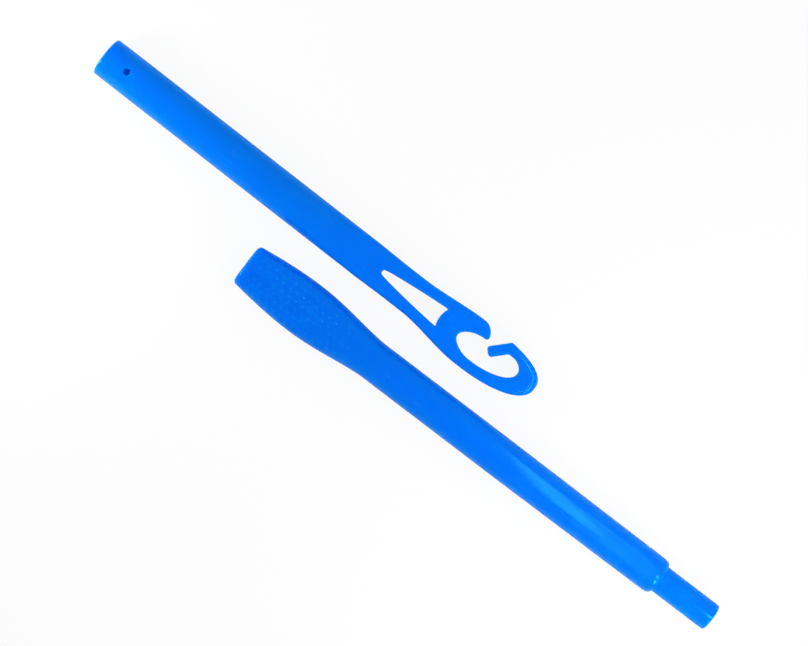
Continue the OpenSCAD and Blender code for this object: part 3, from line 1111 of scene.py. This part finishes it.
    def button_window(self) -> bmesh.types.BMesh:
        """Returns the tool that cuts the button's hole in the spigot's underside."""
        edge = self.button_hole_edge
        low = self.spigot_radius - edge
        profile = [(0.0, 0.0), (0.0, self.button_hole), (low, self.button_hole)]
        profile += flare(low, self.button_hole, edge, 15, 5)
        past = self.spigot_radius + 2 * OVERCUT
        profile += [(past, self.button_hole + edge), (past, 0.0)]
        return upended(turned(profile, 40), self.body_length + self.button_x, 90)

    def build(self, frame: Frame) -> bpy.types.Object:
        """Returns the finished moulding in the row's frame."""
        piece = carve(self.blank(), [self.core(), self.button_window()], "handle_moulding")
        return finished(piece, frame.handle, MOULDING_SHARP_DEGREES)

    def dress(self, piece: bpy.types.Object, frame: Frame) -> None:
        """Gives the moulding its plastic and its place."""
        # This plastic carries the handle's darker blue, which is painted shade on the same plastic as the
        # hook half.
        plastic = MouldedPlastic("handle_plastic_painted_shade", HANDLE_BLUE_PAINTED_SHADE, frame.lay_angle, frame.handle_height)
        dress(piece, plastic.material(), "handle_half", "handle_half")


# --- The lock ----------------------------------------------------------------------------


@dataclass
class Lock:
    """The sprung button and its leaf spring inside the spigot. Sizes are in millimetres."""

    handle: HandleHalf
    pin_radius: float = 1.9
    pin_reach: float = 12.0
    dome: float = 0.9
    flange_radius: float = 3.0
    flange_thickness: float = 0.8
    flange_edge: float = 0.12
    pin_fillet: float = 0.2
    wall_room: float = 0.1
    strip: float = 0.5
    strip_width: float = 5.0
    strip_edge: float = 0.08
    strip_gap: float = 0.05
    spring_length: float = 27.0
    leg_past_flange: float = 1.0
    corner_degrees: float = 60.0

    @property
    def x(self) -> float:
        """Place of the button along the handle half."""
        return self.handle.body_length + self.handle.button_x

    @property
    def flange_low(self) -> float:
        """Height of the flange's face on the hollow's wall."""
        return self.wall_room - math.sqrt(self.handle.core_radius**2 - self.flange_radius**2)

    @property
    def leg_low(self) -> float:
        """Height of the spring's moving leg, just clear of the flange."""
        return self.flange_low + self.flange_thickness + self.strip_gap

    @property
    def wall(self) -> float:
        """Height at which the spring's still leg lies against the hollow's wall."""
        return math.sqrt(self.handle.core_radius**2 - self.strip_width**2 / 4) - self.wall_room

    def build_button(self, frame: Frame) -> bpy.types.Object:
        """Returns the turned button with its domed tip and its flange."""
        top = -(self.flange_low + self.flange_thickness)
        low = -self.flange_low
        edge, fillet = self.flange_edge, self.pin_fillet
        profile = [(top, 0.0), (top, self.flange_radius - edge), (top + edge, self.flange_radius)]
        profile += [(low - edge, self.flange_radius), (low, self.flange_radius - edge)]
        profile += [(low, self.pin_radius + fillet), (low + fillet, self.pin_radius)]
        for out, drop in quarter_round(1.0, 90, 0, 10):
            profile.append((self.pin_reach - self.dome * drop, self.pin_radius * out))
        piece = as_object(upended(turned(profile, 48), self.x, 90), "button")
        return finished(piece, frame.handle, METAL_SHARP_DEGREES)

    def build_spring(self, frame: Frame) -> bpy.types.Object:
        """Returns the folded leaf, bent from one strip."""
        wall, low = self.wall, self.leg_low
        bend = (wall - self.flange_low - self.flange_thickness) / 4
        leg_end = self.x + self.flange_radius + self.leg_past_flange
        foot = self.x - self.flange_radius
        middle = Vector((leg_end - self.spring_length, wall - bend))
        profile = arc(middle, bend, 90, 270, 24)
        profile += [Vector((foot, low)), Vector((leg_end, low))]
        profile += [Vector((leg_end, low + self.strip)), Vector((foot, low + self.strip))]
        profile += arc(middle, bend - self.strip, 270, 90, 24)
        profile += [Vector((leg_end, wall - self.strip)), Vector((leg_end, wall))]
        bm = bmesh.new()
        verts = [bm.verts.new((p.x, -self.strip_width / 2, p.y)) for p in profile]
        face = bm.faces.new(verts)
        grown = bmesh.ops.extrude_face_region(bm, geom=[face])["geom"]
        moved = [item for item in grown if isinstance(item, bmesh.types.BMVert)]
        bmesh.ops.translate(bm, vec=(0, self.strip_width, 0), verts=moved)
        bmesh.ops.recalc_face_normals(bm, faces=bm.faces)
        sharp = [e for e in bm.edges if e.calc_face_angle(0.0) > math.radians(self.corner_degrees)]
        bmesh.ops.bevel(
            bm,
            geom=sharp,
            offset=self.strip_edge,
            affect="EDGES",
            segments=2,
            profile=0.5,
            material=-1,
            clamp_overlap=True,
        )
        return finished(as_object(bm, "leaf_spring"), frame.handle, METAL_SHARP_DEGREES)

    def dress(self, button: bpy.types.Object, spring: bpy.types.Object, frame: Frame) -> None:
        """Gives the button and the spring their steel and their places.

        Args:
            button: The turned button.
            spring: The folded leaf, which is attached to no body.
            frame: Where the halves lie; not used.
        """
        dress(button, BUTTON_STEEL.material(), "lock_button", "lock_button")
        dress(spring, LEAF_STEEL.material(), None, "lock_spring")
        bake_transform(spring)


# --- The surroundings --------------------------------------------------------------------


@dataclass(frozen=True)
class Lamp:
    """A soft lamp. Lengths are in metres, the turn in degrees and the power in watts."""

    name: str
    place: Triple
    aim: Triple
    size: Pair
    power: float
    turn: float = 0.0
    shape: LampShape = LampShape.RECTANGLE


@dataclass(frozen=True)
class Studio:
    """The pale floor, the soft lamps and the camera. Lengths are in metres, angles in degrees."""

    camera_height: float = 1.65
    view_offset: Pair = (-0.0076, 0.0078)
    view_turn: float = 37.94
    lens: float = 117.83
    sensor: float = 36.0
    clip: Pair = (0.05, 60.0)
    floor_half: float = 12.0
    floor_grey: float = 0.8
    floor_roughness: float = 0.9
    floor_white: float = 0.9
    sky: float = 0.5
    lamps: tuple[Lamp, ...] = (
        Lamp("strip", (0.177, 0.2, 0.5), (0.177, 0.2, 0.0), (0.07, 0.84), 0.62, 2.3, LampShape.OVAL),
        Lamp("over_end", (0.208, 0.0, 0.22), (0.208, 0.0, 0.0), (0.07, 0.5), 0.12),
        Lamp("near_low", (0.44, -0.2, 0.26), (0.24, -0.02, 0.01), (0.15, 0.15), 0.8),
        Lamp("mouth_low", (-0.37, -0.13, 0.16), (-0.24, 0.0, 0.01), (0.1, 0.1), 0.55),
        Lamp("high_side", (0.1, 0.7, 0.5), (0.0, 0.0, 0.0), (2.4, 1.0), 1.6),
        Lamp("end_lamp", (-0.8, 0.05, 0.3), (-0.25, 0.02, 0.0), (0.5, 0.4), 1.9),
        Lamp("tip_lamp", (0.37, -0.015, 0.3), (0.212, -0.02, 0.0), (0.11, 0.15), 0.4),
    )

    def floor(self) -> None:
        """Lays the pale floor, which glows near white for the camera alone and keeps a faint shadow."""
        bm = bmesh.new()
        bmesh.ops.create_grid(bm, x_segments=1, y_segments=1, size=self.floor_half)
        floor = as_object(bm, "floor")
        shader = Shader("floor_paint")
        grey = (self.floor_grey, self.floor_grey, self.floor_grey, 1.0)
        shader.feed(Base_Color=grey, Roughness=self.floor_roughness, Specular_IOR_Level=0.0)
        glow = shader.node("ShaderNodeEmission", inputs={"Color": WHITE})
        seen = shader.node("ShaderNodeLightPath", output="Is Camera Ray") * self.floor_white
        shader.show(shader.node("ShaderNodeMixShader", inputs={"Fac": seen, 1: shader.paint, 2: glow}))
        floor.data.materials.append(shader.material)

    def lamp(self, lamp: Lamp) -> None:
        """Adds a soft lamp.

        Args:
            lamp: The lamp's name, place, aim, size, power, turn and shape.
        """
        data = bpy.data.lights.new(lamp.name, "AREA")
        data.shape = lamp.shape.value
        data.size, data.size_y = lamp.size
        data.energy = lamp.power
        placed = linked(lamp.name, data)
        placed.location = lamp.place
        facing = (Vector(lamp.aim) - Vector(lamp.place)).to_track_quat("-Z", "Y").to_matrix().to_4x4()
        turn = Matrix.Rotation(math.radians(lamp.turn), 4, "Z")
        placed.rotation_mode = "QUATERNION"
        placed.rotation_quaternion = (facing @ turn).to_quaternion()

    def world(self, strength: float) -> None:
        """Fills the surroundings with an even pale light."""
        world = bpy.data.worlds.new("room")
        world.use_nodes = True
        sky = world.node_tree.nodes["Background"]
        sky.inputs["Color"].default_value = WHITE
        sky.inputs["Strength"].default_value = strength
        bpy.context.scene.world = world

    def camera(self) -> None:
        """Sets the camera straight above the halves, turned so that they lie across the picture."""
        data = bpy.data.cameras.new("camera")
        data.lens = self.lens
        data.sensor_width = self.sensor
        data.clip_start, data.clip_end = self.clip
        camera = linked("camera", data)
        camera.location = (*self.view_offset, self.camera_height)
        camera.rotation_euler = (0.0, 0.0, math.radians(self.view_turn))
        bpy.context.scene.camera = camera

    def build(self) -> None:
        """Builds the surroundings."""
        self.camera()
        self.floor()
        self.world(self.sky)
        for lamp in self.lamps:
            self.lamp(lamp)
        bpy.context.scene.view_settings.view_transform = "Standard"


def main() -> None:
    """Builds and dresses every piece."""
    logging.basicConfig(level=logging.INFO, format="%(name)s: %(message)s", stream=sys.stdout)
    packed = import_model()
    handle_half = HandleHalf()
    frame = Frame.read(packed["record"], handle_half.reach)
    Studio().build()
    hook_half = HookHalf()
    hook_half.dress(hook_half.build(frame), frame)
    handle_half.dress(handle_half.build(frame), frame)
    lock = Lock(handle_half)
    lock.dress(lock.build_button(frame), lock.build_spring(frame), frame)


if __name__ == "__main__":
    main()
